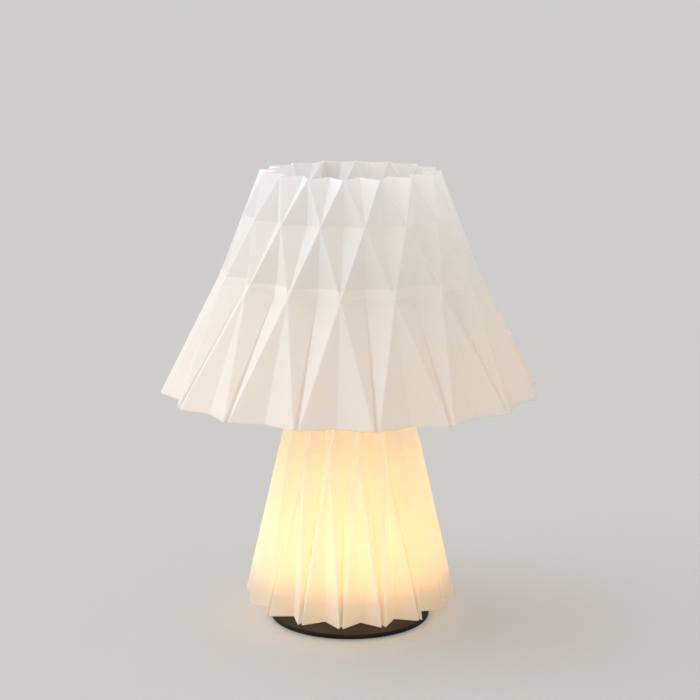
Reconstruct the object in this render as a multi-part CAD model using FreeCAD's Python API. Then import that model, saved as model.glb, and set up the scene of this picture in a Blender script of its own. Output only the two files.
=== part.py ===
"""Pleated paper table lamp: a diamond-pleated shade over a glowing pleated skirt on a steel disc.

Millimetres, +Z up. The origin is on the floor under the centre of the base, and -Y is the front.
Every round part stands on the lamp's axis, and the lead would leave at the back, along +Y.
"""
import FreeCAD, Part
import math
import os

from FreeCAD import Vector

# ---- the folded sheets -------------------------------------------------------------------------
PLEATS = 16              # pleats round each sheet
SHEET = 0.6              # thickness of the stiff paper
HALF_PITCH = 180.0 / PLEATS

SHADE_BELOW_SPOKES = 93.0                   # lower rim of the shade below its carrier's spokes
SHADE_TIERS = [103.0, 59.5, 40.5]           # tier heights, from the bottom up
SHADE_RADII = [175.0, 121.5, 99.0, 82.5]    # mountain nodes of each row, from the bottom up
SHADE_RECESS = [9.0, 12.0, 12.0, 14.0]      # how far each row's valley lies behind its chord
SHADE_TURN = 18.6        # degrees from the front to a node of the second row
SHADE_SLIT = 4.8         # gap between the two tips that end each pleat
SHADE_GROOVE = 5.0       # depth of that gap
LAP = 8.0                # height over which the lower strip is glued outside the upper one

SKIRT_ABOVE_PLATE = 14.5
SKIRT_TIERS = [148.0, 76.0]
SKIRT_RADII = [100.0, 66.5, 46.5]
SKIRT_RECESS = [15.0, 16.0, 12.0]
SKIRT_TURN = 6.45
SKIRT_SLIT = 3.9
SKIRT_GROOVE = 7.0

SEAM_COLUMN = PLEATS     # half pleat at the back where a strip's two ends are glued together

# ---- the base ----------------------------------------------------------------------------------
PAD_THICK = 1.2
PLATE_R = 75.0
PAD_INSET = 4.0          # from the plate's edge to the pad's
PLATE_THICK = 4.3
PLATE_TOP_ROUND = 1.0    # turned as two narrow cones
PLATE_FOOT_CHAMFER = 0.4
NUT_POCKET_R = 10.0
NUT_POCKET_DEPTH = 1.9
CHANNEL_W = 8.0          # groove for a flat lead, in the plate's underside and through the pad
CHANNEL_DEPTH = 2.9
GROMMET_L = 12.0         # the part of the grommet that lies inside the groove
GROMMET_WALL = 0.8
GROMMET_LIP = 1.5        # the flange that stops it at the plate's edge
GROMMET_LIFT = 0.3       # its underside above the floor

# ---- the hollow stem ---------------------------------------------------------------------------
STEM_R = 5.0
STEM_BORE_R = 4.0
STEM_TOP_STICKS_IN = 4.0
THREAD_PLAY = 0.05       # radial play of every threaded pair
HOLE_PLAY = 0.25         # radial play of a plain clearance hole
NUT_FLATS = 14.0
NUT_H = 2.6
WASHER_R = 10.0
WASHER_THICK = 1.0

# ---- the lamp holder ---------------------------------------------------------------------------
CAP_R = 13.5
CAP_H = 9.5
CAP_FLOOR = 4.0
CAP_WALL = 1.5
CAP_CHAMFER = 2.2
SPIGOT_H = 3.0
SPIGOT_PLAY = 0.1
SHELL_H = 28.0
SHELL_R = 13.0
SHELL_WALL = 2.0
SHELL_MOUTH_H = 3.0
SHELL_MOUTH_PLAY = 0.4
FLANGE_R = 17.0
FLANGE_H = 1.6
FLANGE_ABOVE_CAP = 12.0
COLLAR_R = 17.5
COLLAR_RIM_R = 19.5
COLLAR_RIM_H = 3.0
COLLAR_H = 10.0
COLLAR_FLUTES = 12
FLUTE_R = 0.9
INSERT_H = 5.5
INSERT_PLAY = 0.3
INSERT_FROM_SPIGOT = 0.5
TERMINAL_W = 5.0
TERMINAL_D = 6.0
TERMINAL_H = 2.6
TERMINAL_X = 5.6
TERMINAL_SCREW_R = 1.2
TERMINAL_SCREW_H = 1.0
SPRING_W = 4.0
SPRING_THICK = 0.5
SPRING_FOOT_L = 6.0
SPRING_RISE = 1.9        # the tongue's top above the insert
SOCKET_WALL = 0.5
SOCKET_H = 19.0

# ---- the bulb ----------------------------------------------------------------------------------
CONTACT_GAP = 0.1        # from the spring to the centre contact, so that the bulb turns freely
CONTACT_R = 2.4
CONTACT_H = 1.2
INSULATOR_H = 3.0
INSULATOR_LIP = 0.6      # from the centre contact out to the insulator's tip
BULB_CAP_R = 6.8
BULB_CAP_H = 20.0
BULB_CAP_WALL = 0.4
BULB_PLAY = 0.08         # radial play of the bulb's thread in the holder's
HOUSING_H = 21.5
HOUSING_NECK_R = 8.0
HOUSING_SPIGOT_H = 8.0
HOUSING_BAND = 5.0       # straight band under the globe, deep enough for the board's seat
HOUSING_WAIST_R = 16.2   # where the flare turns steeper, halfway up
GLOBE_SEAT_R = 21.5
GLOBE_BULGE = 1.0        # from the globe's seat out to its widest circle
GLOBE_WALL = 1.2
BOARD_THICK = 1.2
BOARD_DROP = 3.0
BOARD_PLAY = 0.3
LED_COUNT = 9
LED_RING_R = 12.0
LED_W = 3.0
LED_H = 0.7

# ---- the wire frame ----------------------------------------------------------------------------
WIRE = 3.0
RING_FLATS = 8           # flats round the section of a wire ring
UPRIGHTS = 3
UPRIGHT_R = 30.0         # from the axis to each upright
FIRST_UPRIGHT = 180.0    # degrees from the front: one upright stands at the back
FOOT_THICK = 1.5
FOOT_EYE_R = 20.0
FOOT_ARM_W = 7.0
UPRIGHT_L = 279.0
TOP_PLATE_THICK = 2.0
STUD_R = 3.0
STUD_COLLAR_R = 5.5
STUD_COLLAR_H = 3.0
STUD_ABOVE_HUB = 11.0
SEAT_GAP = 0.28          # running gap between a wire ring and the folds that rest on it
HUB_R = 18.0
HUB_THICK = 2.0
SPOKE_START_R = 12.5
FINIAL_WASHER_R = 8.5
FINIAL_WASHER_THICK = 1.0
FINIAL_R = 8.0
FINIAL_H = 12.0
FINIAL_CEILING = 1.5
FINIAL_DOME = 3.0        # height of the domed head, turned as two cones
FINIAL_FLUTES = 12

# ---- heights that follow -----------------------------------------------------------------------
PLATE_TOP = PAD_THICK + PLATE_THICK
CAP_Z = PLATE_TOP + WASHER_THICK
SHELL_Z = CAP_Z + CAP_H
FOOT_Z = SHELL_Z + FLANGE_ABOVE_CAP
COLLAR_Z = FOOT_Z + FOOT_THICK
INSERT_Z = SHELL_Z - SPIGOT_H + INSERT_FROM_SPIGOT
INSERT_TOP = INSERT_Z + INSERT_H
BULB_TIP_Z = INSERT_TOP + SPRING_RISE + CONTACT_GAP
BULB_CAP_Z = BULB_TIP_Z + CONTACT_H + INSULATOR_H
HOUSING_Z = BULB_CAP_Z + BULB_CAP_H
GLOBE_Z = HOUSING_Z + HOUSING_H
TOP_PLATE_Z = COLLAR_Z + UPRIGHT_L
HUB_Z = TOP_PLATE_Z + TOP_PLATE_THICK
SPOKE_Z = HUB_Z + HUB_THICK + WIRE / 2
SHADE_BOTTOM_Z = SPOKE_Z - SHADE_BELOW_SPOKES
SKIRT_BOTTOM_Z = PLATE_TOP + SKIRT_ABOVE_PLATE
SOCKET_R = BULB_CAP_R + BULB_PLAY
GLOBE_R = GLOBE_SEAT_R + GLOBE_BULGE


# ---- small tools -------------------------------------------------------------------------------
def polar(radius, angle, z):
    """A point at an angle in degrees from the front, turning towards +X."""
    turn = math.radians(angle)
    return Vector(radius * math.sin(turn), -radius * math.cos(turn), z)


def disc(radius, z, height):
    return Part.makeCylinder(radius, height, Vector(0, 0, z))


def ring(outer, inner, z, height):
    return disc(outer, z, height).cut(disc(inner, z, height))


def block(x, y, z, dx, dy, dz):
    """A box centred on x and y, standing on z."""
    return Part.makeBox(dx, dy, dz, Vector(x - dx / 2, y - dy / 2, z))


def revolved(wire):
    """The solid that a closed outline in the XZ plane sweeps round the lamp's axis."""
    return Part.Face(wire).revolve(Vector(0, 0, 0), Vector(0, 0, 1), 360)


def outline(*corners):
    """A closed wire through (radius, z) corners."""
    points = [Vector(radius, 0, z) for radius, z in corners]
    return Part.makePolygon(points + [points[0]])


def turned(shape, angle):
    copy = shape.copy()
    copy.rotate(Vector(0, 0, 0), Vector(0, 0, 1), angle)
    return copy


def around(shape, count, first=0.0):
    """Copies of a shape spaced evenly round the axis."""
    return [turned(shape, first + 360.0 * step / count) for step in range(count)]


def wire_ring(radius, z):
    """A ring of round wire, its section drawn with a few flats."""
    corners = []
    for step in range(RING_FLATS):
        turn = 2 * math.pi * step / RING_FLATS
        corners.append((radius + WIRE / 2 * math.cos(turn), z + WIRE / 2 * math.sin(turn)))
    return revolved(outline(*corners))


def fluted(body, rim_r, z, height, count):
    """A turned knob's grip: shallow round flutes cut down its rim."""
    flute = Part.makeCylinder(FLUTE_R, height, Vector(0, -rim_r - FLUTE_R / 2, z))
    return body.cut(around(flute, count))


# ---- the folded sheets -------------------------------------------------------------------------
class PleatNet:
    """The fold pattern of one diamond-pleated cone.

    Rows of nodes go up the cone, and each row is turned half a pleat from the one below, so that the
    mountain folds between them cross into diamonds. A valley fold runs down the middle of every
    diamond. A row has one point for each half pleat: a node where row and column are both even or
    both odd, and a valley point between two nodes. The lowest row is trimmed just above its nodes,
    which leaves two tips with a narrow groove between them.
    """

    def __init__(self, bottom_z, tiers, radii, recess, turn, slit, groove):
        self.heights = [bottom_z + sum(tiers[:row]) for row in range(len(radii))]
        self.radii = radii
        self.recess = recess
        self.turn = turn
        self.groove = groove
        self.tip_angle = math.degrees(math.asin(slit / 2 / radii[0]))

    def is_node(self, row, column):
        return (row + column) % 2 == 0

    def valley_r(self, row):
        chord = self.radii[row] * math.cos(math.radians(HALF_PITCH))
        return chord - self.recess[row]

    def point(self, key, offset):
        """The place of a named point, moved out from the axis by offset."""
        if key[0] == "between":
            _, high, low, share = key
            top = self.point(high, offset)
            return top + (self.point(low, offset) - top) * share
        row, column, side = key
        angle = self.turn + column * HALF_PITCH
        if not self.is_node(row, column):
            radius = self.valley_r(row)
        elif row == 0 and side == 0:
            radius = self.radii[0] - self.groove
        else:
            radius = self.radii[row]
        return polar(radius + offset, angle + side * self.tip_angle, self.heights[row])

    def corner(self, row, column, side=0):
        """A point's name. Only the lowest nodes have sides: their left and right tips."""
        if row > 0 or not self.is_node(row, column):
            side = 0
        return (row, column % (2 * PLEATS), side)

    def cell(self, row, column):
        """The panels between two rows and two columns, as triangles seen from outside."""
        low_left = self.corner(row, column, 1)
        low_right = self.corner(row, column + 1, -1)
        high_left = self.corner(row + 1, column)
        high_right = self.corner(row + 1, column + 1)
        if self.is_node(row, column):
            panels = [(low_left, low_right, high_right), (low_left, high_right, high_left)]
            if row == 0:
                panels.append((self.corner(0, column), low_left, high_left))
        else:
            panels = [(low_left, low_right, high_left), (low_right, high_right, high_left)]
            if row == 0:
                panels.append((low_right, self.corner(0, column + 1), high_right))
        return panels

    def lap_cell(self, row, column, height):
        """The lowest part of a cell, cut off at a height above its row."""
        share = 1.0 - height / (self.heights[row + 1] - self.heights[row])
        low_left = self.corner(row, column)
        low_right = self.corner(row, column + 1)
        high_left = self.corner(row + 1, column)
        high_right = self.corner(row + 1, column + 1)
        left = ("between", high_left, low_left, share)
        right = ("between", high_right, low_right, share)
        if self.is_node(row, column):
            middle = ("between", high_right, low_left, share)
            return [(low_left, low_right, middle), (low_right, right, middle), (low_left, middle, left)]
        middle = ("between", high_left, low_right, share)
        return [(low_left, low_right, middle), (low_left, middle, left), (low_right, right, middle)]

    def sheet(self, panels, outer, inner):
        """A closed solid: the panels at two offsets, joined round their open edges."""
        faces = []
        edges = set()
        for a, b, c in panels:
            faces.append(triangle(*[self.point(key, outer) for key in (a, b, c)]))
            faces.append(triangle(*[self.point(key, inner) for key in (c, b, a)]))
            edges.update([(a, b), (b, c), (c, a)])
        for a, b in sorted(edges, key=repr):
            if (b, a) not in edges:
                faces.append(triangle(self.point(b, outer), self.point(a, outer), self.point(a, inner)))
                faces.append(triangle(self.point(b, outer), self.point(a, inner), self.point(b, inner)))
        return Part.makeSolid(Part.makeShell(faces))

    def strip(self, rows, outer, lap=None, tab_outside=True):
        """One strip of paper, closed round the cone, its ends glued over one half pleat at the back.

        rows are the tiers that the strip covers, and lap is a row and the height above it that the
        strip also covers. The glued tab lies outside, clear of the ring that carries the strip, or
        inside, clear of another strip.
        """
        def panels(columns):
            found = []
            for column in columns:
                for row in rows:
                    found += self.cell(row, column)
                if lap:
                    found += self.lap_cell(lap[0], column, lap[1])
            return found

        wall = self.sheet(panels(range(2 * PLEATS)), outer, outer - SHEET)
        tab_outer = outer + SHEET if tab_outside else outer - SHEET
        tab = self.sheet(panels([SEAM_COLUMN]), tab_outer, tab_outer - SHEET)
        return wall.fuse(tab).removeSplitter().Solids[0]


def triangle(a, b, c):
    return Part.Face(Part.makePolygon([a, b, c, a]))


SHADE = PleatNet(
    SHADE_BOTTOM_Z, SHADE_TIERS, SHADE_RADII, SHADE_RECESS, SHADE_TURN - HALF_PITCH, SHADE_SLIT, SHADE_GROOVE
)
SKIRT = PleatNet(
    SKIRT_BOTTOM_Z, SKIRT_TIERS, SKIRT_RADII, SKIRT_RECESS, SKIRT_TURN - HALF_PITCH, SKIRT_SLIT, SKIRT_GROOVE
)


def shade_lower_strip():
    return SHADE.strip([0], SHEET, lap=(1, LAP))


def shade_upper_strip():
    return SHADE.strip([1, 2], 0.0, tab_outside=False)


def skirt_strip():
    return SKIRT.strip([0, 1], 0.0)


# ---- the base ----------------------------------------------------------------------------------
def base_plate():
    plate = revolved(outline(
        (0, PAD_THICK),
        (PLATE_R - PLATE_FOOT_CHAMFER, PAD_THICK),
        (PLATE_R, PAD_THICK + PLATE_FOOT_CHAMFER),
        (PLATE_R, PLATE_TOP - PLATE_TOP_ROUND),
        (PLATE_R - 0.3 * PLATE_TOP_ROUND, PLATE_TOP - 0.3 * PLATE_TOP_ROUND),
        (PLATE_R - PLATE_TOP_ROUND, PLATE_TOP),
        (0, PLATE_TOP),
    ))
    plate = plate.cut(disc(STEM_R + HOLE_PLAY, PAD_THICK, PLATE_THICK))
    plate = plate.cut(disc(NUT_POCKET_R, PAD_THICK, NUT_POCKET_DEPTH))
    return plate.cut(block(0, PLATE_R / 2, PAD_THICK, CHANNEL_W, PLATE_R, CHANNEL_DEPTH))


def base_pad():
    pad = disc(PLATE_R - PAD_INSET, 0, PAD_THICK)
    pad = pad.cut(disc(NUT_POCKET_R, 0, PAD_THICK))
    return pad.cut(block(0, PLATE_R / 2, 0, CHANNEL_W, PLATE_R, PAD_THICK))


def cord_grommet():
    """A liner for the groove's mouth, open below, so that a flat lead is pressed in from underneath."""
    height = PAD_THICK + CHANNEL_DEPTH - GROMMET_LIFT
    body = block(0, PLATE_R - GROMMET_L / 2, GROMMET_LIFT, CHANNEL_W, GROMMET_L, height)
    flange_w = CHANNEL_W + 2 * GROMMET_LIP
    flange = block(0, PLATE_R + GROMMET_LIP / 2, GROMMET_LIFT, flange_w, GROMMET_LIP, height)
    outer_edges = [edge for edge in flange.Edges if edge.BoundBox.YMin > PLATE_R + GROMMET_LIP - 0.01]
    flange = flange.makeChamfer(GROMMET_LIP / 3, outer_edges)
    length = GROMMET_L + GROMMET_LIP
    lead_way = block(0, PLATE_R - GROMMET_L + length / 2, GROMMET_LIFT, CHANNEL_W - 2 * GROMMET_WALL,
                     length, height - GROMMET_WALL)
    return body.fuse(flange).removeSplitter().cut(lead_way)


# ---- the hollow stem ---------------------------------------------------------------------------
def stem_tube():
    bottom = PAD_THICK + NUT_POCKET_DEPTH - NUT_H
    top = CAP_Z + STEM_TOP_STICKS_IN
    return ring(STEM_R, STEM_BORE_R, bottom, top - bottom)


def stem_nut():
    corner_r = NUT_FLATS / 2 / math.cos(math.radians(30))
    z = PAD_THICK + NUT_POCKET_DEPTH - NUT_H
    corners = [polar(corner_r, 60 * side, z) for side in range(7)]
    nut = Part.Face(Part.makePolygon(corners)).extrude(Vector(0, 0, NUT_H))
    return nut.cut(disc(STEM_R + THREAD_PLAY, z, NUT_H))


def stem_washer():
    return ring(WASHER_R, STEM_R + HOLE_PLAY, PLATE_TOP, WASHER_THICK)


# ---- the lamp holder ---------------------------------------------------------------------------
def holder_cap():
    cap = disc(CAP_R, CAP_Z, CAP_H)
    bottom_edge = [edge for edge in cap.Edges if edge.BoundBox.ZMax < CAP_Z + 0.01]
    cap = cap.makeChamfer(CAP_CHAMFER, bottom_edge)
    cap = cap.cut(disc(CAP_R - CAP_WALL, CAP_Z + CAP_FLOOR, CAP_H))
    return cap.cut(disc(STEM_R + THREAD_PLAY, CAP_Z, CAP_H))


def holder_shell():
    spigot_r = CAP_R - CAP_WALL - SPIGOT_PLAY
    bore_r = SHELL_R - SHELL_WALL
    mouth_r = SOCKET_R + SOCKET_WALL + SHELL_MOUTH_PLAY
    top = SHELL_Z + SHELL_H
    return revolved(outline(
        (bore_r, SHELL_Z - SPIGOT_H),
        (spigot_r, SHELL_Z - SPIGOT_H),
        (spigot_r, SHELL_Z),
        (CAP_R, SHELL_Z),
        (CAP_R, FOOT_Z - 2 * FLANGE_H),
        (FLANGE_R, FOOT_Z - FLANGE_H),
        (FLANGE_R, FOOT_Z),
        (SHELL_R, FOOT_Z),
        (SHELL_R, top),
        (mouth_r, top),
        (mouth_r, top - SHELL_MOUTH_H),
        (bore_r, top - SHELL_MOUTH_H),
    ))


def holder_collar():
    bore_r = SHELL_R + THREAD_PLAY
    collar = ring(COLLAR_R, bore_r, COLLAR_Z, COLLAR_H)
    rim = fluted(ring(COLLAR_RIM_R, bore_r, COLLAR_Z, COLLAR_RIM_H), COLLAR_RIM_R, COLLAR_Z,
                 COLLAR_RIM_H, COLLAR_FLUTES)
    return collar.fuse(rim).removeSplitter()


def holder_insert():
    return disc(SHELL_R - SHELL_WALL - INSERT_PLAY, INSERT_Z, INSERT_H)


def holder_terminals():
    block_z = INSERT_Z - TERMINAL_H
    solids = []
    for side in (-1, 1):
        clamp = block(side * TERMINAL_X, 0, block_z, TERMINAL_W, TERMINAL_D, TERMINAL_H)
        start = Vector(side * TERMINAL_X, -TERMINAL_D / 2, block_z + TERMINAL_H / 2)
        screw = Part.makeCylinder(TERMINAL_SCREW_R, TERMINAL_SCREW_H, start, Vector(0, -1, 0))
        solids.append(clamp.fuse(screw).removeSplitter())
    return Part.makeCompound(solids)


def holder_socket():
    """The threaded brass sleeve that the bulb's cap screws into."""
    return ring(SOCKET_R + SOCKET_WALL, SOCKET_R, INSERT_TOP, SOCKET_H)


def holder_contact():
    """A leaf spring: its foot lies on the insert, and its tongue rises to the bulb's centre contact."""
    foot = block(0, 0, INSERT_TOP, SPRING_FOOT_L, SPRING_W, SPRING_THICK)
    bend = block(SPRING_THICK / 2 - SPRING_FOOT_L / 2, 0, INSERT_TOP, SPRING_THICK, SPRING_W, SPRING_RISE)
    tongue = block(0, 0, INSERT_TOP + SPRING_RISE - SPRING_THICK, SPRING_FOOT_L, SPRING_W, SPRING_THICK)
    return foot.fuse([bend, tongue]).removeSplitter()


# ---- the bulb ----------------------------------------------------------------------------------
def bulb_contact():
    button = disc(CONTACT_R, BULB_TIP_Z, CONTACT_H)
    lower_edge = [edge for edge in button.Edges if edge.BoundBox.ZMax < BULB_TIP_Z + 0.01]
    return button.makeChamfer(CONTACT_H / 2, lower_edge)


def bulb_insulator():
    return Part.makeCone(CONTACT_R + INSULATOR_LIP, BULB_CAP_R - BULB_CAP_WALL, INSULATOR_H,
                         Vector(0, 0, BULB_TIP_Z + CONTACT_H))


def bulb_cap():
    return ring(BULB_CAP_R, BULB_CAP_R - BULB_CAP_WALL, BULB_CAP_Z, BULB_CAP_H)


def bulb_housing():
    """The flared white body between cap and globe, with a shallow seat for the board in its top."""
    seat_r = GLOBE_SEAT_R - GLOBE_WALL
    spigot_r = BULB_CAP_R - BULB_CAP_WALL
    flare_top = GLOBE_Z - HOUSING_BAND
    return revolved(outline(
        (0, HOUSING_Z - HOUSING_SPIGOT_H),
        (spigot_r, HOUSING_Z - HOUSING_SPIGOT_H),
        (spigot_r, HOUSING_Z),
        (HOUSING_NECK_R, HOUSING_Z),
        (HOUSING_WAIST_R, (HOUSING_Z + flare_top) / 2),
        (GLOBE_SEAT_R, flare_top),
        (GLOBE_SEAT_R, GLOBE_Z),
        (seat_r, GLOBE_Z),
        (seat_r, GLOBE_Z - BOARD_DROP),
        (0, GLOBE_Z - BOARD_DROP),
    ))


def bulb_board():
    board = disc(GLOBE_SEAT_R - GLOBE_WALL - BOARD_PLAY, GLOBE_Z - BOARD_DROP, BOARD_THICK)
    chip = block(0, -LED_RING_R, GLOBE_Z - BOARD_DROP + BOARD_THICK, LED_W, LED_W, LED_H)
    return board.fuse(around(chip, LED_COUNT)).removeSplitter()


def globe_centre_z():
    return GLOBE_Z + math.sqrt(GLOBE_R ** 2 - GLOBE_SEAT_R ** 2)


def bulb_globe():
    centre = Vector(0, 0, globe_centre_z())
    dome = Part.makeSphere(GLOBE_R, centre).cut(Part.makeSphere(GLOBE_R - GLOBE_WALL, centre))
    return dome.cut(disc(2 * GLOBE_R, GLOBE_Z - 2 * GLOBE_R, 2 * GLOBE_R))


# ---- the wire frame ----------------------------------------------------------------------------
def frame_foot():
    """A sheet-steel eye that the holder's collar clamps, with an arm under each upright."""
    arm_l = UPRIGHT_R + WIRE / 2
    arm = block(0, -arm_l / 2, FOOT_Z, FOOT_ARM_W, arm_l, FOOT_THICK)
    arm_end = Part.makeCylinder(FOOT_ARM_W / 2, FOOT_THICK, Vector(0, -arm_l, FOOT_Z))
    arms = around(arm.fuse(arm_end), UPRIGHTS, FIRST_UPRIGHT)
    foot = disc(FOOT_EYE_R, FOOT_Z, FOOT_THICK).fuse(arms).removeSplitter()
    return foot.cut(disc(SHELL_R + HOLE_PLAY, FOOT_Z, FOOT_THICK))


def frame_uprights():
    rod = Part.makeCylinder(WIRE / 2, UPRIGHT_L, Vector(0, -UPRIGHT_R, COLLAR_Z))
    return Part.makeCompound(around(rod, UPRIGHTS, FIRST_UPRIGHT))


def seat_height(net, top_row, ring_r):
    """Height at which a wire ring meets the valley folds that drop from the top row's valley points."""
    top_r = net.valley_r(top_row) - SHEET
    run = net.radii[top_row - 1] - net.valley_r(top_row)
    rise = net.heights[top_row] - net.heights[top_row - 1]
    slope = math.atan2(run, rise)
    reach = ring_r + (WIRE / 2 + SEAT_GAP) / math.cos(slope)
    return net.heights[top_row] - (reach - top_r) / math.tan(slope)


def skirt_ring():
    """The wire ring, welded round the uprights, that the skirt's top folds rest on."""
    radius = UPRIGHT_R + WIRE
    return wire_ring(radius, seat_height(SKIRT, len(SKIRT_RADII) - 1, radius))


def frame_top_plate():
    plate = disc(UPRIGHT_R + WIRE / 2, TOP_PLATE_Z, TOP_PLATE_THICK)
    return plate.cut(disc(STUD_R, TOP_PLATE_Z, TOP_PLATE_THICK))


def frame_stud():
    collar = disc(STUD_COLLAR_R, TOP_PLATE_Z - STUD_COLLAR_H, STUD_COLLAR_H)
    rod_h = STUD_COLLAR_H + TOP_PLATE_THICK + HUB_THICK + STUD_ABOVE_HUB
    return collar.fuse(disc(STUD_R, TOP_PLATE_Z - STUD_COLLAR_H, rod_h)).removeSplitter()


# ---- the carrier of the shade ------------------------------------------------------------------
def shade_ring_r():
    """Radius of the ring inside the valley folds that run down from the second row."""
    top = SHADE.valley_r(1)
    run = SHADE.radii[0] - SHADE.groove - top
    drop = SHADE.heights[1] - SHADE.heights[0]
    slope = math.atan2(run, drop)
    fold_r = top + (SHADE.heights[1] - SPOKE_Z) * math.tan(slope)
    return fold_r - (WIRE / 2 + SEAT_GAP) / math.cos(slope)


def shade_ring():
    return wire_ring(shade_ring_r(), SPOKE_Z)


def shade_hub():
    return ring(HUB_R, STUD_R + HOLE_PLAY, HUB_Z, HUB_THICK)


def shade_spokes():
    length = shade_ring_r() - SPOKE_START_R
    spoke = Part.makeCylinder(WIRE / 2, length, Vector(0, -SPOKE_START_R, SPOKE_Z), Vector(0, -1, 0))
    return Part.makeCompound(around(spoke.cut(shade_ring()), UPRIGHTS, FIRST_UPRIGHT))


def finial_washer():
    return ring(FINIAL_WASHER_R, STUD_R + HOLE_PLAY, HUB_Z + HUB_THICK, FINIAL_WASHER_THICK)


def finial_nut():
    """A blind nut with a domed head and a fluted grip, turned down on the stud by hand."""
    z = HUB_Z + HUB_THICK + FINIAL_WASHER_THICK
    top = z + FINIAL_H
    knob = revolved(outline(
        (0, z),
        (FINIAL_R, z),
        (FINIAL_R, top - FINIAL_DOME),
        (FINIAL_R - 0.3 * FINIAL_DOME, top - 0.3 * FINIAL_DOME),
        (FINIAL_R - FINIAL_DOME, top),
        (0, top),
    ))
    knob = fluted(knob, FINIAL_R, z, FINIAL_H - FINIAL_DOME, FINIAL_FLUTES)
    return knob.cut(disc(STUD_R + THREAD_PLAY, z, FINIAL_H - FINIAL_CEILING))


# ---- one file for each piece -------------------------------------------------------------------
PIECES = [
    base_pad, base_plate, cord_grommet, stem_tube, stem_nut, stem_washer,
    holder_cap, holder_shell, holder_collar, holder_insert, holder_terminals, holder_socket, holder_contact,
    bulb_contact, bulb_insulator, bulb_cap, bulb_housing, bulb_board, bulb_globe,
    frame_foot, frame_uprights, skirt_ring, frame_top_plate, frame_stud,
    shade_hub, shade_spokes, shade_ring, finial_washer, finial_nut,
    skirt_strip, shade_lower_strip, shade_upper_strip,
]

os.makedirs("parts", exist_ok=True)
for piece in PIECES:
    shape = piece()
    box = shape.BoundBox
    print(f"{piece.__name__:20s} valid {shape.isValid()} solids {len(shape.Solids)} faces {len(shape.Faces)} "
          f"z {box.ZMin:.1f} to {box.ZMax:.1f} reach {max(box.XMax, box.YMax):.1f} volume {shape.Volume:.0f}")
    shape.exportStep(f"parts/{piece.__name__}.step")
print(f"globe centre z {globe_centre_z():.2f}, shade ring radius {shade_ring_r():.2f} at z {SPOKE_Z:.2f}")
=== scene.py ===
import math

import bpy
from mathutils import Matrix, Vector


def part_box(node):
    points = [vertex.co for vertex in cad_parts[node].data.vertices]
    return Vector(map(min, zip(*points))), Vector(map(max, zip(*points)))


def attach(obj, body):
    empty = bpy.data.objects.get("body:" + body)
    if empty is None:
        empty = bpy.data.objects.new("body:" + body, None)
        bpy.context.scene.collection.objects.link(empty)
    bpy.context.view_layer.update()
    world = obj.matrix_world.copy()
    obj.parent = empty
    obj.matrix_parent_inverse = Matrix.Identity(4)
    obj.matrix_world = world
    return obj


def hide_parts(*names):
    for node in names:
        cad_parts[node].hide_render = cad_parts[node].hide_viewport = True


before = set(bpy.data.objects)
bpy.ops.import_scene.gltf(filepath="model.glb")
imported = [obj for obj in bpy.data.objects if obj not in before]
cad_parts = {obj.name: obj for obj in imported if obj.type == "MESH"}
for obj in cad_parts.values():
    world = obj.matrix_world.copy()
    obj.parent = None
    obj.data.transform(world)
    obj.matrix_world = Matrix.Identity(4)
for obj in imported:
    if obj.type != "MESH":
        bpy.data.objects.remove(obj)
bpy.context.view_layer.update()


# ---- camera ------------------------------------------------------------------------------------
# The lamp is seen from the front, a little from above, by a long lens at the height of a standing
# viewer's chest.
EYE = Vector((0.0, -1.725, 0.612))
LOOK_DOWN = math.radians(11.65)
LENS_MM = 97.7
SENSOR_MM = 36.0

eye = bpy.data.cameras.new("eye")
eye.lens = LENS_MM
eye.sensor_width = SENSOR_MM
eye.clip_end = 200.0
camera = bpy.data.objects.new("eye", eye)
camera.location = EYE
camera.rotation_euler = (math.radians(90.0) - LOOK_DOWN, 0.0, 0.0)
bpy.context.scene.collection.objects.link(camera)
bpy.context.scene.camera = camera


# ---- base: foam pad ----------------------------------------------------------------------------
# A disc of black foam rubber glued under the plate, so that the lamp stands soft and level. It is
# die-cut, with a slot for the lead, and its skin shows fine closed cells.
PAD_BLACK = (0.022, 0.021, 0.021)
PAD_WORN = (0.045, 0.043, 0.041)
PAD_CELL_SCALE = 1400.0
PAD_CELL_DEPTH = 0.0002
PAD_RUB_SCALE = 60.0


class Value:
    """An output socket of a node tree. Arithmetic on it adds the Math nodes that work it out."""

    def __init__(self, graph, socket):
        self.graph = graph
        self.socket = socket

    def math(self, operation, first, second=0.0):
        return self.graph.node("ShaderNodeMath", {"operation": operation}, {0: first, 1: second})

    def __add__(self, other):
        return self.math("ADD", self, other)

    def __sub__(self, other):
        return self.math("SUBTRACT", self, other)

    def __rsub__(self, other):
        return self.math("SUBTRACT", other, self)

    def __mul__(self, other):
        return self.math("MULTIPLY", self, other)

    def __truediv__(self, other):
        return self.math("DIVIDE", self, other)

    def at_most(self, other):
        return self.math("MINIMUM", self, other)

    __radd__ = __add__
    __rmul__ = __mul__


class Graph:
    """A node tree that is written one node at a time: its type, its settings, then its inputs."""

    def __init__(self, tree):
        self.tree = tree

    def node(self, kind, settings=None, inputs=None, output=0):
        made = self.tree.nodes.new(kind)
        for name, value in (settings or {}).items():
            if name == "stops":
                self.set_stops(made.color_ramp, value)
            else:
                setattr(made, name, value)
        for name, value in (inputs or {}).items():
            if isinstance(value, Value):
                self.tree.links.new(value.socket, made.inputs[name])
            else:
                made.inputs[name].default_value = value
        return Value(self, made.outputs[output]) if made.outputs else None

    @staticmethod
    def set_stops(ramp, stops):
        while len(ramp.elements) < len(stops):
            ramp.elements.new(1.0)
        for element, (position, colour) in zip(ramp.elements, stops):
            element.position = position
            element.color = (*colour, 1.0)


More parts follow.
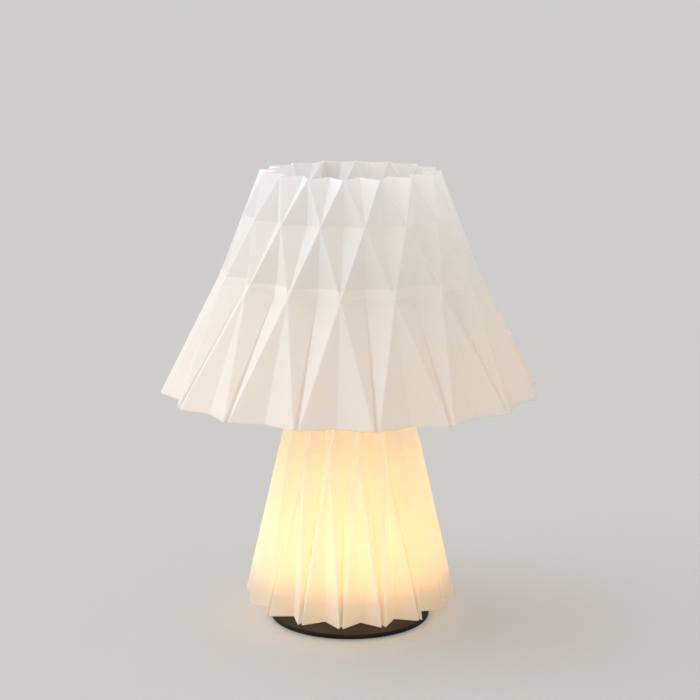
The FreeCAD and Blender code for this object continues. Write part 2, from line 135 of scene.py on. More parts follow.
class Finish(Graph):
    """A material, whose patterns follow the piece's own coordinates."""

    def __init__(self, name):
        self.material = bpy.data.materials.new(name)
        self.material.use_nodes = True
        super().__init__(self.material.node_tree)
        self.tree.nodes.clear()
        self.place = self.node("ShaderNodeTexCoord", output=3)

    def grain(self, scale, detail=3.0, stretch=(1.0, 1.0, 1.0)):
        """Noise from 0 to 1. stretch is the pattern's frequency along each axis."""
        at = self.node("ShaderNodeMapping", inputs={"Vector": self.place, "Scale": stretch})
        return self.node("ShaderNodeTexNoise", inputs={"Vector": at, "Scale": scale, "Detail": detail})

    def between(self, value, low, high):
        """0 below low, 1 above high, and a soft step between them."""
        return self.node("ShaderNodeMapRange", {"interpolation_type": "SMOOTHSTEP"},
                         {"Value": value, "From Min": low, "From Max": high})

    def mix(self, share, first, second):
        """The first colour where share is 0, and the second where it is 1."""
        pair = {0: share, 6: paint(first), 7: paint(second)}
        return self.node("ShaderNodeMix", {"data_type": "RGBA"}, pair, output=2)

    def relief(self, height, depth, strength=1.0):
        inputs = {"Height": height, "Distance": depth, "Strength": strength}
        return self.node("ShaderNodeBump", inputs=inputs)

    def shader(self, **inputs):
        """A Principled shader. An input's name is written with underscores for spaces."""
        inputs = {name.replace("_", " "): value for name, value in inputs.items()}
        inputs["Base Color"] = paint(inputs["Base Color"])
        return self.node("ShaderNodeBsdfPrincipled", inputs=inputs)

    def end(self, surface):
        self.node("ShaderNodeOutputMaterial", inputs={"Surface": surface})
        return self.material


def paint(colour):
    """A colour for a socket, with its alpha."""
    return colour if isinstance(colour, Value) else (*colour, 1.0)


def dress(node, material):
    """Gives a CAD node its finish."""
    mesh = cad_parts[node].data
    mesh.materials.clear()
    mesh.materials.append(material)


foam = Finish("foam_rubber")
cells = foam.grain(PAD_CELL_SCALE, 2.0)
rubbed = foam.between(foam.grain(PAD_RUB_SCALE), 0.45, 0.75)
foam_skin = foam.shader(
    Base_Color=foam.mix(rubbed, PAD_BLACK, PAD_WORN), Roughness=0.85,
    Normal=foam.relief(cells, PAD_CELL_DEPTH))
dress("base_pad", foam.end(foam_skin))


# ---- base: plate -------------------------------------------------------------------------------
# A laser-cut steel disc with its top edge broken round, powder coated in satin black. The coat has
# a slight orange peel, and dust and handling make it a little duller in soft patches.
PLATE_BLACK = (0.011, 0.010, 0.010)
PLATE_DUSTY = (0.019, 0.018, 0.0175)
PEEL_SCALE = 520.0
PEEL_DEPTH = 0.00006
DUST_SCALE = 28.0

black_coat = Finish("satin_black_coat")
peel = black_coat.grain(PEEL_SCALE, 1.5)
dust = black_coat.between(black_coat.grain(DUST_SCALE, 4.0), 0.35, 0.7)
coat_skin = black_coat.shader(
    Base_Color=black_coat.mix(dust, PLATE_BLACK, PLATE_DUSTY), Roughness=0.5 + dust * 0.12,
    Specular_IOR_Level=0.12, Normal=black_coat.relief(peel, PEEL_DEPTH))
dress("base_plate", black_coat.end(coat_skin))


# ---- base: liner of the lead's groove ----------------------------------------------------------
# A moulded liner of soft black PVC, pushed into the groove's mouth at the back edge of the plate,
# so that the steel can't chafe a flat lead.
PVC_BLACK = (0.018, 0.018, 0.018)
PVC_GREY = (0.03, 0.03, 0.03)
MOULD_SCALE = 900.0
MOULD_DEPTH = 0.00005

liner = Finish("soft_black_pvc")
mould_grain = liner.grain(MOULD_SCALE, 2.0)
liner_skin = liner.shader(
    Base_Color=liner.mix(mould_grain, PVC_BLACK, PVC_GREY), Roughness=0.55,
    Normal=liner.relief(mould_grain, MOULD_DEPTH))
dress("cord_grommet", liner.end(liner_skin))


# ---- stem: tube, nut and washer ----------------------------------------------------------------
# A short threaded steel tube holds the lamp holder to the plate, with a lock nut in the pocket
# underneath and a washer on top. All are bright zinc plate, slightly blue and yellow in places.
ZINC_BLUE = (0.60, 0.62, 0.64)
ZINC_YELLOW = (0.66, 0.64, 0.56)
TINT_SCALE = 180.0
TURNING_SCALE = 90.0
TURNING_STRETCH = (1.0, 1.0, 60.0)
TURNING_DEPTH = 0.00003

zinc = Finish("bright_zinc")
tint = zinc.between(zinc.grain(TINT_SCALE, 4.0), 0.3, 0.7)
turning = zinc.grain(TURNING_SCALE, 2.0, TURNING_STRETCH)
zinc_skin = zinc.shader(
    Base_Color=zinc.mix(tint, ZINC_BLUE, ZINC_YELLOW), Metallic=1.0, Roughness=0.26 + tint * 0.14,
    Normal=zinc.relief(turning, TURNING_DEPTH))
zinc_plate = zinc.end(zinc_skin)
for name in ("stem_tube", "stem_nut", "stem_washer", "frame_stud"):
    dress(name, zinc_plate)


# ---- lamp holder: cap, shell and collar --------------------------------------------------------
# Three mouldings of white heat-resistant plastic. The cap screws on the stem, the shell clips into
# the cap, and the fluted collar clamps the frame's foot on the shell's flange.
MOULDED_WHITE = (0.74, 0.735, 0.71)
MOULDED_SHADE = (0.68, 0.67, 0.64)
FLOW_SCALE = 70.0
SPARK_SCALE = 2200.0
SPARK_DEPTH = 0.00003

moulded = Finish("white_thermoplastic")
flow = moulded.between(moulded.grain(FLOW_SCALE), 0.3, 0.7)
spark = moulded.grain(SPARK_SCALE, 2.0)
moulded_skin = moulded.shader(
    Base_Color=moulded.mix(flow, MOULDED_WHITE, MOULDED_SHADE), Roughness=0.42 + flow * 0.1,
    Normal=moulded.relief(spark, SPARK_DEPTH))
moulded_white = moulded.end(moulded_skin)
for name in ("holder_cap", "holder_shell", "holder_collar"):
    dress(name, moulded_white)


# ---- lamp holder: insert, terminals, socket and spring -----------------------------------------
# An unglazed steatite insert carries the brass parts: two clamping terminals with screws, the
# sleeve that the bulb screws into, and the leaf spring for its centre contact.
STEATITE = (0.78, 0.76, 0.70)
STEATITE_DARK = (0.70, 0.67, 0.60)
BRASS_BRIGHT = (0.78, 0.58, 0.30)
BRASS_DULL = (0.60, 0.42, 0.20)
SPECK_SCALE = 1500.0
SPECK_DEPTH = 0.00005
TARNISH_SCALE = 260.0

steatite = Finish("steatite")
specks = steatite.between(steatite.grain(SPECK_SCALE, 4.0), 0.55, 0.75)
steatite_skin = steatite.shader(
    Base_Color=steatite.mix(specks, STEATITE, STEATITE_DARK), Roughness=0.8,
    Normal=steatite.relief(specks, SPECK_DEPTH))
dress("holder_insert", steatite.end(steatite_skin))

brass = Finish("pressed_brass")
tarnish = brass.between(brass.grain(TARNISH_SCALE, 5.0), 0.35, 0.75)
brass_skin = brass.shader(
    Base_Color=brass.mix(tarnish, BRASS_BRIGHT, BRASS_DULL), Metallic=1.0, Roughness=0.24 + tarnish * 0.2)
pressed_brass = brass.end(brass_skin)
for name in ("holder_terminals", "holder_socket", "holder_contact", "bulb_contact"):
    dress(name, pressed_brass)


# ---- bulb: screw cap and insulator -------------------------------------------------------------
# A small screw cap of nickel-plated brass, crimped on the housing, with a black insulator that
# holds the centre contact at its tip.
CAP_BRIGHT = (0.70, 0.67, 0.62)
CAP_DULL = (0.56, 0.53, 0.48)
HAZE_SCALE = 240.0
GLASS_BLACK = (0.012, 0.012, 0.014)
GLASS_GREY = (0.03, 0.03, 0.034)
GLASS_SCALE = 320.0

nickel = Finish("nickel_plate")
haze = nickel.between(nickel.grain(HAZE_SCALE, 4.0), 0.3, 0.75)
nickel_skin = nickel.shader(
    Base_Color=nickel.mix(haze, CAP_BRIGHT, CAP_DULL), Metallic=1.0, Roughness=0.2 + haze * 0.16)
nickel_plate = nickel.end(nickel_skin)
dress("bulb_cap", nickel_plate)

insulator = Finish("black_insulator")
vitreous = insulator.grain(GLASS_SCALE)
insulator_skin = insulator.shader(
    Base_Color=insulator.mix(vitreous, GLASS_BLACK, GLASS_GREY), Roughness=0.18 + vitreous * 0.1)
dress("bulb_insulator", insulator.end(insulator_skin))


# ---- bulb: housing and board -------------------------------------------------------------------
# The housing is white heat-conducting plastic. The board in its top is aluminium with a white
# solder mask and a ring of yellow light-emitting chips.
HOUSING_WHITE = (0.84, 0.835, 0.82)
HOUSING_SHADE = (0.78, 0.775, 0.75)
MOTTLE_SCALE = 120.0

housing = Finish("white_housing")
mottle = housing.grain(MOTTLE_SCALE)
housing_skin = housing.shader(
    Base_Color=housing.mix(mottle, HOUSING_WHITE, HOUSING_SHADE), Roughness=0.5)
dress("bulb_housing", housing.end(housing_skin))

CHIP_YELLOW = (0.85, 0.62, 0.10)
CHIP_SEEN_FROM = 0.0004     # below the top of the chips
MASK_WHITE = (0.82, 0.82, 0.80)
MASK_SHADE = (0.74, 0.74, 0.72)
MASK_SCALE = 400.0

chip_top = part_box("bulb_board")[1].z
board = Finish("white_board")
height = board.node("ShaderNodeSeparateXYZ", inputs={0: board.place}, output=2)
on_chip = board.between(height, chip_top - CHIP_SEEN_FROM, chip_top - CHIP_SEEN_FROM / 2)
mask_tone = board.mix(board.grain(MASK_SCALE), MASK_WHITE, MASK_SHADE)
board_skin = board.shader(Base_Color=board.mix(on_chip, mask_tone, CHIP_YELLOW), Roughness=0.35)
dress("bulb_board", board.end(board_skin))


# ---- bulb: globe -------------------------------------------------------------------------------
# A satin opal dome that spreads the light. It is the lamp's own light, warm white, and a little
# dimmer near its seat, where the chips don't reach.
GLOW_WARM = (1.0, 0.57, 0.19)
GLOW_LOW = (0.95, 0.52, 0.16)
GLOBE_GLOW = 29.0
OPAL_WHITE = (0.90, 0.88, 0.84)
OPAL_SHADE = (0.86, 0.84, 0.79)
OPAL_SCALE = 200.0

globe_low, globe_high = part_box("bulb_globe")
opal = Finish("opal_globe")
level = opal.node("ShaderNodeSeparateXYZ", inputs={0: opal.place}, output=2)
above_seat = opal.between(level, globe_low.z, globe_low.z + (globe_high.z - globe_low.z) / 3)
opal_skin = opal.shader(
    Base_Color=opal.mix(opal.grain(OPAL_SCALE), OPAL_WHITE, OPAL_SHADE), Roughness=0.35,
    Emission_Color=opal.mix(above_seat, GLOW_LOW, GLOW_WARM), Emission_Strength=GLOBE_GLOW)
dress("bulb_globe", opal.end(opal_skin))


# ---- frame and carrier -------------------------------------------------------------------------
# Welded steel wire and sheet with a matt white powder coat: the foot, the uprights, the skirt's
# ring and the top plate, and on them the hub, spokes and ring that carry the shade.
COAT_WHITE = (0.76, 0.755, 0.735)
COAT_SHADE = (0.70, 0.69, 0.665)
COAT_PEEL_SCALE = 700.0
COAT_PEEL_DEPTH = 0.00006
UNEVEN_SCALE = 45.0

white_coat = Finish("matt_white_coat")
coat_peel = white_coat.grain(COAT_PEEL_SCALE, 1.5)
uneven = white_coat.between(white_coat.grain(UNEVEN_SCALE), 0.3, 0.7)
white_skin = white_coat.shader(
    Base_Color=white_coat.mix(uneven, COAT_WHITE, COAT_SHADE), Roughness=0.5 + uneven * 0.1,
    Normal=white_coat.relief(coat_peel, COAT_PEEL_DEPTH))
matt_white = white_coat.end(white_skin)
for name in ("frame_foot", "frame_uprights", "skirt_ring", "frame_top_plate",
             "shade_hub", "shade_spokes", "shade_ring"):
    dress(name, matt_white)


# ---- finial: nut and washer --------------------------------------------------------------------
# A small turned nut with a fluted grip and its washer, nickel plated. It is undone by hand to take
# the carrier off and reach the bulb.
KNOB_BRIGHT = (0.62, 0.60, 0.56)
KNOB_DULL = (0.50, 0.48, 0.44)
WEAR_SCALE = 150.0

knob = Finish("nickel_knob")
wear = knob.between(knob.grain(WEAR_SCALE, 4.0), 0.35, 0.7)
knob_skin = knob.shader(
    Base_Color=knob.mix(wear, KNOB_BRIGHT, KNOB_DULL), Metallic=1.0, Roughness=0.24 + wear * 0.14)
turned_nickel = knob.end(knob_skin)
for name in ("finial_nut", "finial_washer"):
    dress(name, turned_nickel)


# ---- skirt -------------------------------------------------------------------------------------
# One strip of stiff translucent paper, scored and folded into diamond pleats. The mountain folds
# cross from node to node, a valley fold runs down every diamond, and the lower edge is trimmed so
# that two tips end each pleat. The strip's ends are glued with a tab at the back.
PLEATS = 16
PAPER = 0.0006
SKIRT_FLOOR = 0.020
SKIRT_TIERS = (0.148, 0.076)
SKIRT_RADII = (0.100, 0.0665, 0.0465)
SKIRT_RECESS = (0.015, 0.016, 0.012)
SKIRT_TURN = math.radians(6.45)
SKIRT_SLIT = 0.0039
SKIRT_GROOVE = 0.007
SKIRT_SEED = 3.0
SEAM_COLUMN = PLEATS        # the half pleat at the back
GLUE = 0.00002
HALF_PITCH = math.pi / PLEATS
FAR = 1.0                   # stands for an edge that isn't folded


class Folds:
    """The fold pattern of one pleated cone, in rows of nodes from the bottom up.

    A row has a point every half pleat: a mountain node where row and column are both even or both
    odd, and a valley point between two nodes.
    """

    def __init__(self, floor, tiers, radii, recess, turn, slit, groove):
        self.heights = [floor + sum(tiers[:row]) for row in range(len(radii))]
        self.radii = radii
        self.recess = recess
        self.turn = turn - HALF_PITCH
        self.groove = groove
        self.tip_angle = math.asin(slit / 2 / radii[0])

    def is_node(self, row, column):
        return (row + column) % 2 == 0

    def point(self, key, offset):
        """The place of a named point, moved out from the axis by offset."""
        if key[0] == "between":
            return self.point(key[1], offset).lerp(self.point(key[2], offset), key[3])
        row, column, side = key
        if not self.is_node(row, column):
            radius = self.radii[row] * math.cos(HALF_PITCH) - self.recess[row]
        elif row == 0 and side == 0:
            radius = self.radii[0] - self.groove
        else:
            radius = self.radii[row]
        angle = self.turn + column * HALF_PITCH + side * self.tip_angle
        radius += offset
        return Vector((radius * math.sin(angle), -radius * math.cos(angle), self.heights[row]))

    def corner(self, row, column, side=0):
        """A point's name. Only the lowest nodes have sides: their left and right tips."""
        return (row, column, side if row == 0 and self.is_node(row, column) else 0)

    def panels(self, row, column):
        """The triangles between two rows and two columns, seen from outside."""
        low_left, low_right = self.corner(row, column, 1), self.corner(row, column + 1, -1)
        high_left, high_right = self.corner(row + 1, column), self.corner(row + 1, column + 1)
        if self.is_node(row, column):
            found = [(low_left, low_right, high_right), (low_left, high_right, high_left)]
            slit = (self.corner(0, column), low_left, high_left)
        else:
            found = [(low_left, low_right, high_left), (low_right, high_right, high_left)]
            slit = (low_right, self.corner(0, column + 1), high_right)
        return found + [slit] if row == 0 else found

    def lap_panels(self, row, column, height):
        """The lowest part of the panels, cut off at a height above their row."""
        share = 1.0 - height / (self.heights[row + 1] - self.heights[row])
        low_left, low_right = self.corner(row, column), self.corner(row, column + 1)
        high_left, high_right = self.corner(row + 1, column), self.corner(row + 1, column + 1)
        left = ("between", high_left, low_left, share)
        right = ("between", high_right, low_right, share)
        if self.is_node(row, column):
            middle = ("between", high_right, low_left, share)
            return [(low_left, low_right, middle), (low_right, right, middle), (low_left, middle, left)]
        middle = ("between", high_left, low_right, share)
        return [(low_left, low_right, middle), (low_left, middle, left), (low_right, right, middle)]

    def is_fold(self, one, other):
        """Whether the line between two points of a panel is folded, and not a cut edge or a flat line."""
        if one[0] == "between" or other[0] == "between":
            cut, end = (one, other) if one[0] == "between" else (other, one)
            return end[0] != "between" and cut[2] == end
        if one[0] == other[0]:
            return 0 < one[0] < len(self.radii) - 1
        return one[1] != other[1] or (one[2] == 0 and other[2] == 0)


def folded_mesh(name, folds, rows, columns, outer, lap=None, closed=False):
    """Outer and inner skins of part of a strip, with the paper's cut edges.

    The two ends are left open, to be joined to the next pleat, unless closed is true. A corner
    attribute holds how far the place is from each of its panel's three folds.
    """
    panels = [panel for column in columns for row in rows for panel in folds.panels(row, column)]
    if lap:
        panels += [panel for column in columns for panel in folds.lap_panels(lap[0], column, lap[1])]
    names = sorted({key for panel in panels for key in panel}, key=repr)
    index = {key: at for at, key in enumerate(names)}
    under = len(names)
    faces = [tuple(index[key] for key in panel) for panel in panels]
    faces += [tuple(index[key] + under for key in reversed(panel)) for panel in panels]
    directed = {(panel[at], panel[(at + 1) % 3]) for panel in panels for at in range(3)}
    rims = [edge for edge in sorted(directed, key=repr) if edge[::-1] not in directed]
    if not closed:
        ends = (columns[0], columns[-1] + 1)
        rims = [edge for edge in rims if not all(end_column(key, ends) for key in edge)]
    faces += [(index[b], index[a], index[a] + under, index[b] + under) for a, b in rims]
    mesh = bpy.data.meshes.new(name)
    points = [folds.point(key, outer) for key in names] + [folds.point(key, outer - PAPER) for key in names]
    mesh.from_pydata(points, [], faces)
    mark_folds(mesh, folds, names, panels)
    return mesh


def end_column(key, ends):
    """Whether a point lies on one of the part's two end columns."""
    return key[1][1] in ends if key[0] == "between" else key[1] in ends and key[2] == 0


def mark_folds(mesh, folds, names, panels):
    """Writes each panel's distances to its folds, and how round each edge is to be."""
    reach = mesh.attributes.new("fold_reach", "FLOAT_VECTOR", "CORNER")
    for polygon in mesh.polygons:
        corners = [mesh.vertices[at] for at in polygon.vertices]
        values = [Vector((FAR, FAR, FAR)) for _ in corners]
        if len(corners) == 3:
            keys = [names[corner.index % len(names)] for corner in corners]
            for at in range(3):
                start, end, top = corners[at].co, corners[(at + 1) % 3].co, corners[(at + 2) % 3].co
                if folds.is_fold(keys[at], keys[(at + 1) % 3]):
                    height = (top - start).cross(end - start).length / (end - start).length
                    for corner in range(3):
                        values[corner][at] = height if corner == (at + 2) % 3 else 0.0
        for loop, value in zip(polygon.loop_indices, values):
            reach.data[loop].vector = value
    weights = mesh.attributes.new("bevel_weight_edge", "FLOAT", "EDGE")
    for edge in mesh.edges:
        one, other = (names[at % len(names)] for at in edge.vertices)
        same_skin = (edge.vertices[0] < len(names)) == (edge.vertices[1] < len(names))
        if same_skin and folds.is_fold(one, other):
            weights.data[edge.index].value = 1.0


def ring_of_pleats():
    """The tree that copies one pleat round the axis, joins the copies and wavers them sideways."""
    tree = bpy.data.node_groups.new("ring_of_pleats", "GeometryNodeTree")
    sockets = [
        ("Pleat", "NodeSocketGeometry"), ("Pleats", "NodeSocketInt"),
        ("Join Within", "NodeSocketFloat"), ("Waver", "NodeSocketFloat"),
        ("Waver Scale", "NodeSocketFloat"), ("Seed", "NodeSocketFloat"), ("Paper", "NodeSocketMaterial"),
    ]
    for name, kind in sockets:
        tree.interface.new_socket(name, in_out="INPUT", socket_type=kind)
    tree.interface.new_socket("Strip", in_out="OUTPUT", socket_type="NodeSocketGeometry")
    graph = Graph(tree)
    group = tree.nodes.new("NodeGroupInput")
    given = {name: Value(graph, group.outputs[name]) for name, _ in sockets}
    points = graph.node("GeometryNodePoints", inputs={"Count": given["Pleats"]})
    step = graph.node("GeometryNodeInputIndex") * (2 * math.pi) / given["Pleats"]
    turn = graph.node("ShaderNodeCombineXYZ", inputs={"Z": step})
    copies = graph.node("GeometryNodeInstanceOnPoints", inputs={
        "Points": points, "Instance": given["Pleat"], "Rotation": turn})
    whole = graph.node("GeometryNodeRealizeInstances", inputs={"Geometry": copies})
    joined = graph.node("GeometryNodeMergeByDistance", inputs={
        "Geometry": whole, "Distance": given["Join Within"]})
    wave = graph.node("ShaderNodeTexNoise", {"noise_dimensions": "4D"}, {
        "Vector": graph.node("GeometryNodeInputPosition"), "W": given["Seed"],
        "Scale": given["Waver Scale"], "Detail": 1.0}, output=1)
    centred = graph.node("ShaderNodeVectorMath", {"operation": "SUBTRACT"}, {0: wave, 1: (0.5, 0.5, 0.5)})
    level = graph.node("ShaderNodeVectorMath", {"operation": "MULTIPLY"}, {0: centred, 1: (1.0, 1.0, 0.0)})
    shift = graph.node("ShaderNodeVectorMath", {"operation": "SCALE"}, {0: level, "Scale": given["Waver"]})
    wavered = graph.node("GeometryNodeSetPosition", inputs={"Geometry": joined, "Offset": shift})
    painted = graph.node("GeometryNodeSetMaterial", inputs={
        "Geometry": wavered, "Material": given["Paper"]})
    graph.node("NodeGroupOutput", inputs={"Strip": painted})
    return tree


def settle(thing):
    """Replaces an object's modifiers by the plain mesh that they make."""
    bpy.context.view_layer.update()
    result = bpy.data.meshes.new_from_object(thing.evaluated_get(bpy.context.evaluated_depsgraph_get()))
    thing.modifiers.clear()
    thing.data = result
    return thing


JOIN_WITHIN = 0.00001
WAVER = 0.0012              # from one extreme to the other
WAVER_SCALE = 9.0
CREASE_ROUND = 0.0007
CREASE_STEPS = 2
RING_OF_PLEATS = ring_of_pleats()


def ringed(name, part, count, paper, seed):
    """A part of a strip copied round the axis, with softly rounded creases."""
    thing = bpy.data.objects.new(name, part)
    bpy.context.scene.collection.objects.link(thing)
    ring = thing.modifiers.new("ring", "NODES")
    ring.node_group = RING_OF_PLEATS
    values = {"Pleats": count, "Join Within": JOIN_WITHIN, "Waver": WAVER, "Waver Scale": WAVER_SCALE,
              "Seed": seed, "Paper": paper}
    for item in RING_OF_PLEATS.interface.items_tree:
        if item.name in values:
            ring[item.identifier] = values[item.name]
    crease = thing.modifiers.new("crease", "BEVEL")
    crease.limit_method = "WEIGHT"
    crease.width = CREASE_ROUND
    crease.segments = CREASE_STEPS
    # a sharp mitre would stand out past the paper's cut edge
    crease.miter_outer = "MITER_ARC"
    return settle(thing)


def paper_strip(name, folds, rows, outer, paper, seed, lap=None, tab_outside=True):
    """A whole strip: one pleat copied round, and its ends glued with a tab over half a pleat."""
    strip = ringed(name, folded_mesh(name, folds, rows, (0, 1), outer, lap), PLEATS, paper, seed)
    step = PAPER + GLUE if tab_outside else -PAPER - GLUE
    tab_mesh = folded_mesh(name + "_tab", folds, rows, (SEAM_COLUMN,), outer + step, lap, closed=True)
    tab = ringed(name + "_tab", tab_mesh, 1, paper, seed)
    with bpy.context.temp_override(active_object=strip, selected_editable_objects=[strip, tab]):
        bpy.ops.object.join()
    return strip


CREASE_WIDTH = 0.0009
CREASE_WHITE = (0.968, 0.966, 0.962)
CREASE_PALER = 0.5
CREASE_THROUGH = 0.05
CLOUD_SCALE = 90.0
CLOUD_TONE = 0.1
CLOUD_THROUGH = 0.05
FIBRE_SCALE = 1500.0
FIBRE_STRETCH = (1.0, 1.0, 0.4)
FIBRE_DEPTH = 0.00003
LIGHT_THROUGH = 0.55
LAP_THROUGH = 0.46
# painted glow that makes the lap show as a paler band
LAP_PAINTED_GLOW = (0.085, 0.07, 0.058)


def folded_paper(name, folds, tones, glow, lap=None):
    """Stiff translucent paper, paler where it is scored.

    tones and glow are stops up the strip: the paper's colour, with painted warm shade towards the
    bottom, and an added painted glow that mostly stands in for lamplight spread inside the sheet. The
    glow was fitted to the photo, and doesn't go out with the bulb. Where two strips are glued together,
    less light comes through.
    """
    paper = Finish(name)
    reach = paper.node("ShaderNodeAttribute", {"attribute_name": "fold_reach"}, output=1)
    separate = paper.node("ShaderNodeSeparateXYZ", inputs={0: reach}).socket.node
    near = Value(paper, separate.outputs[0]).at_most(Value(paper, separate.outputs[1]))
    near = near.at_most(Value(paper, separate.outputs[2]))
    crease = 1 - paper.between(near, 0.0, CREASE_WIDTH)
    height = paper.node("ShaderNodeSeparateXYZ", inputs={0: paper.place}, output=2)
    up = paper.node("ShaderNodeMapRange", inputs={
        "Value": height, "From Min": folds.heights[0], "From Max": folds.heights[-1]})
    cloud = paper.grain(CLOUD_SCALE)
    fibre = paper.grain(FIBRE_SCALE, 4.0, FIBRE_STRETCH)
    tone = paper.node("ShaderNodeValToRGB", {"stops": tones}, {0: up + (cloud - 0.5) * CLOUD_TONE})
    tone = paper.mix(crease * CREASE_PALER, tone, CREASE_WHITE)
    lit = paper.node("ShaderNodeValToRGB", {"stops": glow}, {0: up})
    share = LIGHT_THROUGH + (cloud - 0.5) * CLOUD_THROUGH + crease * CREASE_THROUGH
    if lap:
        # an added glow, fitted to the photo, where the lap shows paler than the shader makes it
        above_lap = paper.between(height, lap[1], lap[1] + GLUE)
        doubled = paper.between(height, lap[0], lap[0] + GLUE) * (1 - above_lap)
        share = share - doubled * (LIGHT_THROUGH - LAP_THROUGH)
        lit = paper.mix(doubled, lit, LAP_PAINTED_GLOW)
    skin = paper.shader(
        Base_Color=tone, Roughness=0.55, Specular_IOR_Level=0.35, Emission_Color=lit,
        Emission_Strength=1.0, Normal=paper.relief(fibre, FIBRE_DEPTH))
    through = paper.node("ShaderNodeBsdfTranslucent", inputs={"Color": tone})
    both = paper.node("ShaderNodeMixShader", inputs={0: share, 1: skin, 2: through})
    return paper.end(both)


# The paper's colour up the strip, with painted warm shade towards the bottom edge.
SKIRT_TONES_PAINTED_WARM = [
    (0.0, (0.945, 0.905, 0.85)), (0.35, (0.945, 0.928, 0.89)), (1.0, (0.945, 0.935, 0.91)),
]
# A painted glow up the strip, standing in for lamplight spread inside the paper.
SKIRT_PAINTED_GLOW = [
    (0.0, (0.0, 0.0, 0.0)), (0.08, (0.02, 0.008, 0.001)), (0.145, (0.24, 0.14, 0.045)),
    (0.21, (0.22, 0.125, 0.04)), (0.36, (0.06, 0.035, 0.012)), (0.45, (0.03, 0.018, 0.006)),
    (0.58, (0.10, 0.06, 0.02)), (0.71, (0.16, 0.095, 0.03)), (1.0, (0.16, 0.095, 0.03)),
]

SKIRT_FOLDS = Folds(
    SKIRT_FLOOR, SKIRT_TIERS, SKIRT_RADII, SKIRT_RECESS, SKIRT_TURN, SKIRT_SLIT, SKIRT_GROOVE)
SKIRT_PAPER = folded_paper("skirt_paper", SKIRT_FOLDS, SKIRT_TONES_PAINTED_WARM, SKIRT_PAINTED_GLOW)
skirt = paper_strip("skirt", SKIRT_FOLDS, (0, 1), 0.0, SKIRT_PAPER, SKIRT_SEED)
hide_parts("skirt_strip")
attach(skirt, "skirt")


# ---- shade: lower and upper strips -------------------------------------------------------------
# Two strips of the same paper. The lower one flares out to the zigzag rim, and its upper edge is
# glued outside the upper one in a narrow lap, which shows as a paler band of painted glow.
SHADE_FLOOR = 0.221
SHADE_TIERS = (0.103, 0.0595, 0.0405)
SHADE_RADII = (0.175, 0.1215, 0.099, 0.0825)
SHADE_RECESS = (0.009, 0.012, 0.012, 0.014)
SHADE_TURN = math.radians(18.6)
SHADE_SLIT = 0.0048
SHADE_GROOVE = 0.005
SHADE_SEED = 7.0
LAP = 0.008

# The paper's colour up the strip, with painted warm shade towards the lower rim.
SHADE_TONES_PAINTED_WARM = [
    (0.0, (0.945, 0.926, 0.902)), (0.45, (0.945, 0.932, 0.913)), (0.75, (0.945, 0.94, 0.932)),
    (1.0, (0.948, 0.948, 0.945)),
]
# A painted glow up the strip: warm towards the rim in place of lamplight, and a neutral painted brightening
# at the top.
SHADE_PAINTED_GLOW = [
    (0.0, (0.052, 0.021, 0.006)), (0.4, (0.036, 0.015, 0.005)), (0.65, (0.02, 0.015, 0.011)),
    (1.0, (0.05, 0.05, 0.052)),
]

SHADE_FOLDS = Folds(
    SHADE_FLOOR, SHADE_TIERS, SHADE_RADII, SHADE_RECESS, SHADE_TURN, SHADE_SLIT, SHADE_GROOVE)
LAP_SPAN = (SHADE_FOLDS.heights[1], SHADE_FOLDS.heights[1] + LAP)
SHADE_PAPER = folded_paper("shade_paper", SHADE_FOLDS, SHADE_TONES_PAINTED_WARM, SHADE_PAINTED_GLOW, LAP_SPAN)
shade_lower = paper_strip(
    "shade_lower", SHADE_FOLDS, (0,), PAPER + GLUE, SHADE_PAPER, SHADE_SEED, lap=(1, LAP))
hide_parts("shade_lower_strip")
shade_upper = paper_strip(
    "shade_upper", SHADE_FOLDS, (1, 2), 0.0, SHADE_PAPER, SHADE_SEED, tab_outside=False)
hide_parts("shade_upper_strip")
for strip in (shade_lower, shade_upper):
    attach(strip, "shade")


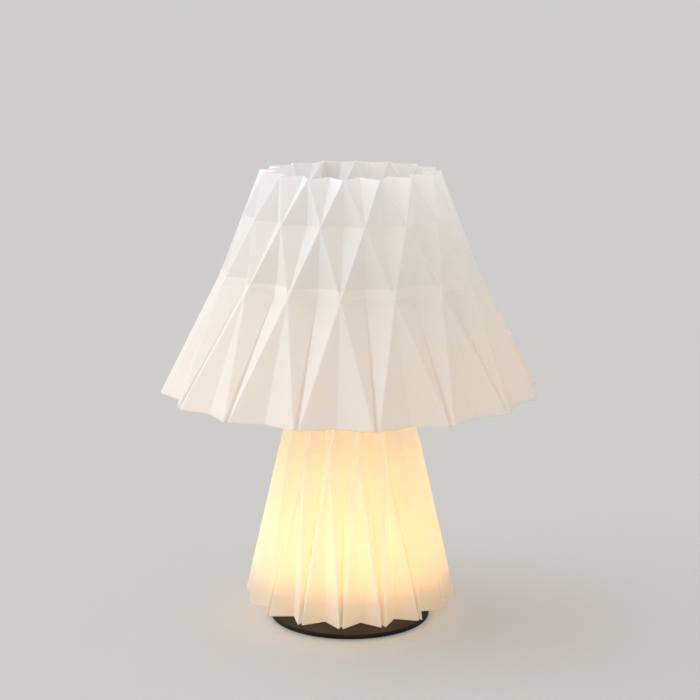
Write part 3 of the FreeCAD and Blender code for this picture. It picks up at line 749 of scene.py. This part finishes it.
# ---- floor, light and surroundings -------------------------------------------------------------
# A plain pale floor without end, one large soft light from the left and an even pale sky. Part of
# what is seen of the floor is an even tone, so the shadow is weaker than the lights alone make it.
FLOOR_SIZE = 60.0
FLOOR_COLOUR = (0.4765, 0.476, 0.464)
FLOOR_SEEN = (0.617, 0.610, 0.584)
FLOOR_EVEN = 0.4
SKY_SEEN = (0.615, 0.607, 0.577, 1.0)
SKY_LIGHT = (1.0, 0.945, 0.885, 1.0)
SKY_STRENGTH = 0.93
KEY_STRENGTH = 2.1
KEY_COLOUR = (0.83, 0.92, 1.0)
KEY_ANGLE = math.radians(75.0)
KEY_FROM = Vector((-1.0, 0.15, 0.9))


def looked_at(graph):
    """1 for a ray that shows the surroundings, and 0 for one that brings their light."""
    rays = graph.node("ShaderNodeLightPath").socket.node
    looked = Value(graph, rays.outputs["Is Camera Ray"]) + Value(graph, rays.outputs["Is Glossy Ray"])
    return (looked + Value(graph, rays.outputs["Is Transmission Ray"])).at_most(1.0)


bpy.ops.mesh.primitive_plane_add(size=FLOOR_SIZE)
floor = bpy.context.object
floor.name = "floor"
ground = Finish("pale_floor")
ground_skin = ground.node("ShaderNodeBsdfDiffuse", inputs={"Color": paint(FLOOR_COLOUR)})
even = ground.node("ShaderNodeEmission", inputs={"Color": paint(FLOOR_SEEN)})
ground_both = ground.node("ShaderNodeMixShader", inputs={
    0: looked_at(ground) * FLOOR_EVEN, 1: ground_skin, 2: even})
floor.data.materials.append(ground.end(ground_both))

key = bpy.data.lights.new("key", "SUN")
key.energy = KEY_STRENGTH
key.color = KEY_COLOUR
key.angle = KEY_ANGLE
key_light = bpy.data.objects.new("key", key)
key_light.rotation_euler = KEY_FROM.to_track_quat("Z", "Y").to_euler()
bpy.context.scene.collection.objects.link(key_light)

world = bpy.data.worlds.new("sky")
bpy.context.scene.world = world
world.use_nodes = True
world.node_tree.nodes.clear()
sky = Graph(world.node_tree)
light = sky.node("ShaderNodeBackground", inputs={"Color": SKY_LIGHT, "Strength": SKY_STRENGTH})
backdrop = sky.node("ShaderNodeBackground", inputs={"Color": SKY_SEEN})
both = sky.node("ShaderNodeMixShader", inputs={0: looked_at(sky), 1: light, 2: backdrop})
sky.node("ShaderNodeOutputWorld", inputs={"Surface": both})

bpy.context.scene.view_settings.view_transform = "Standard"
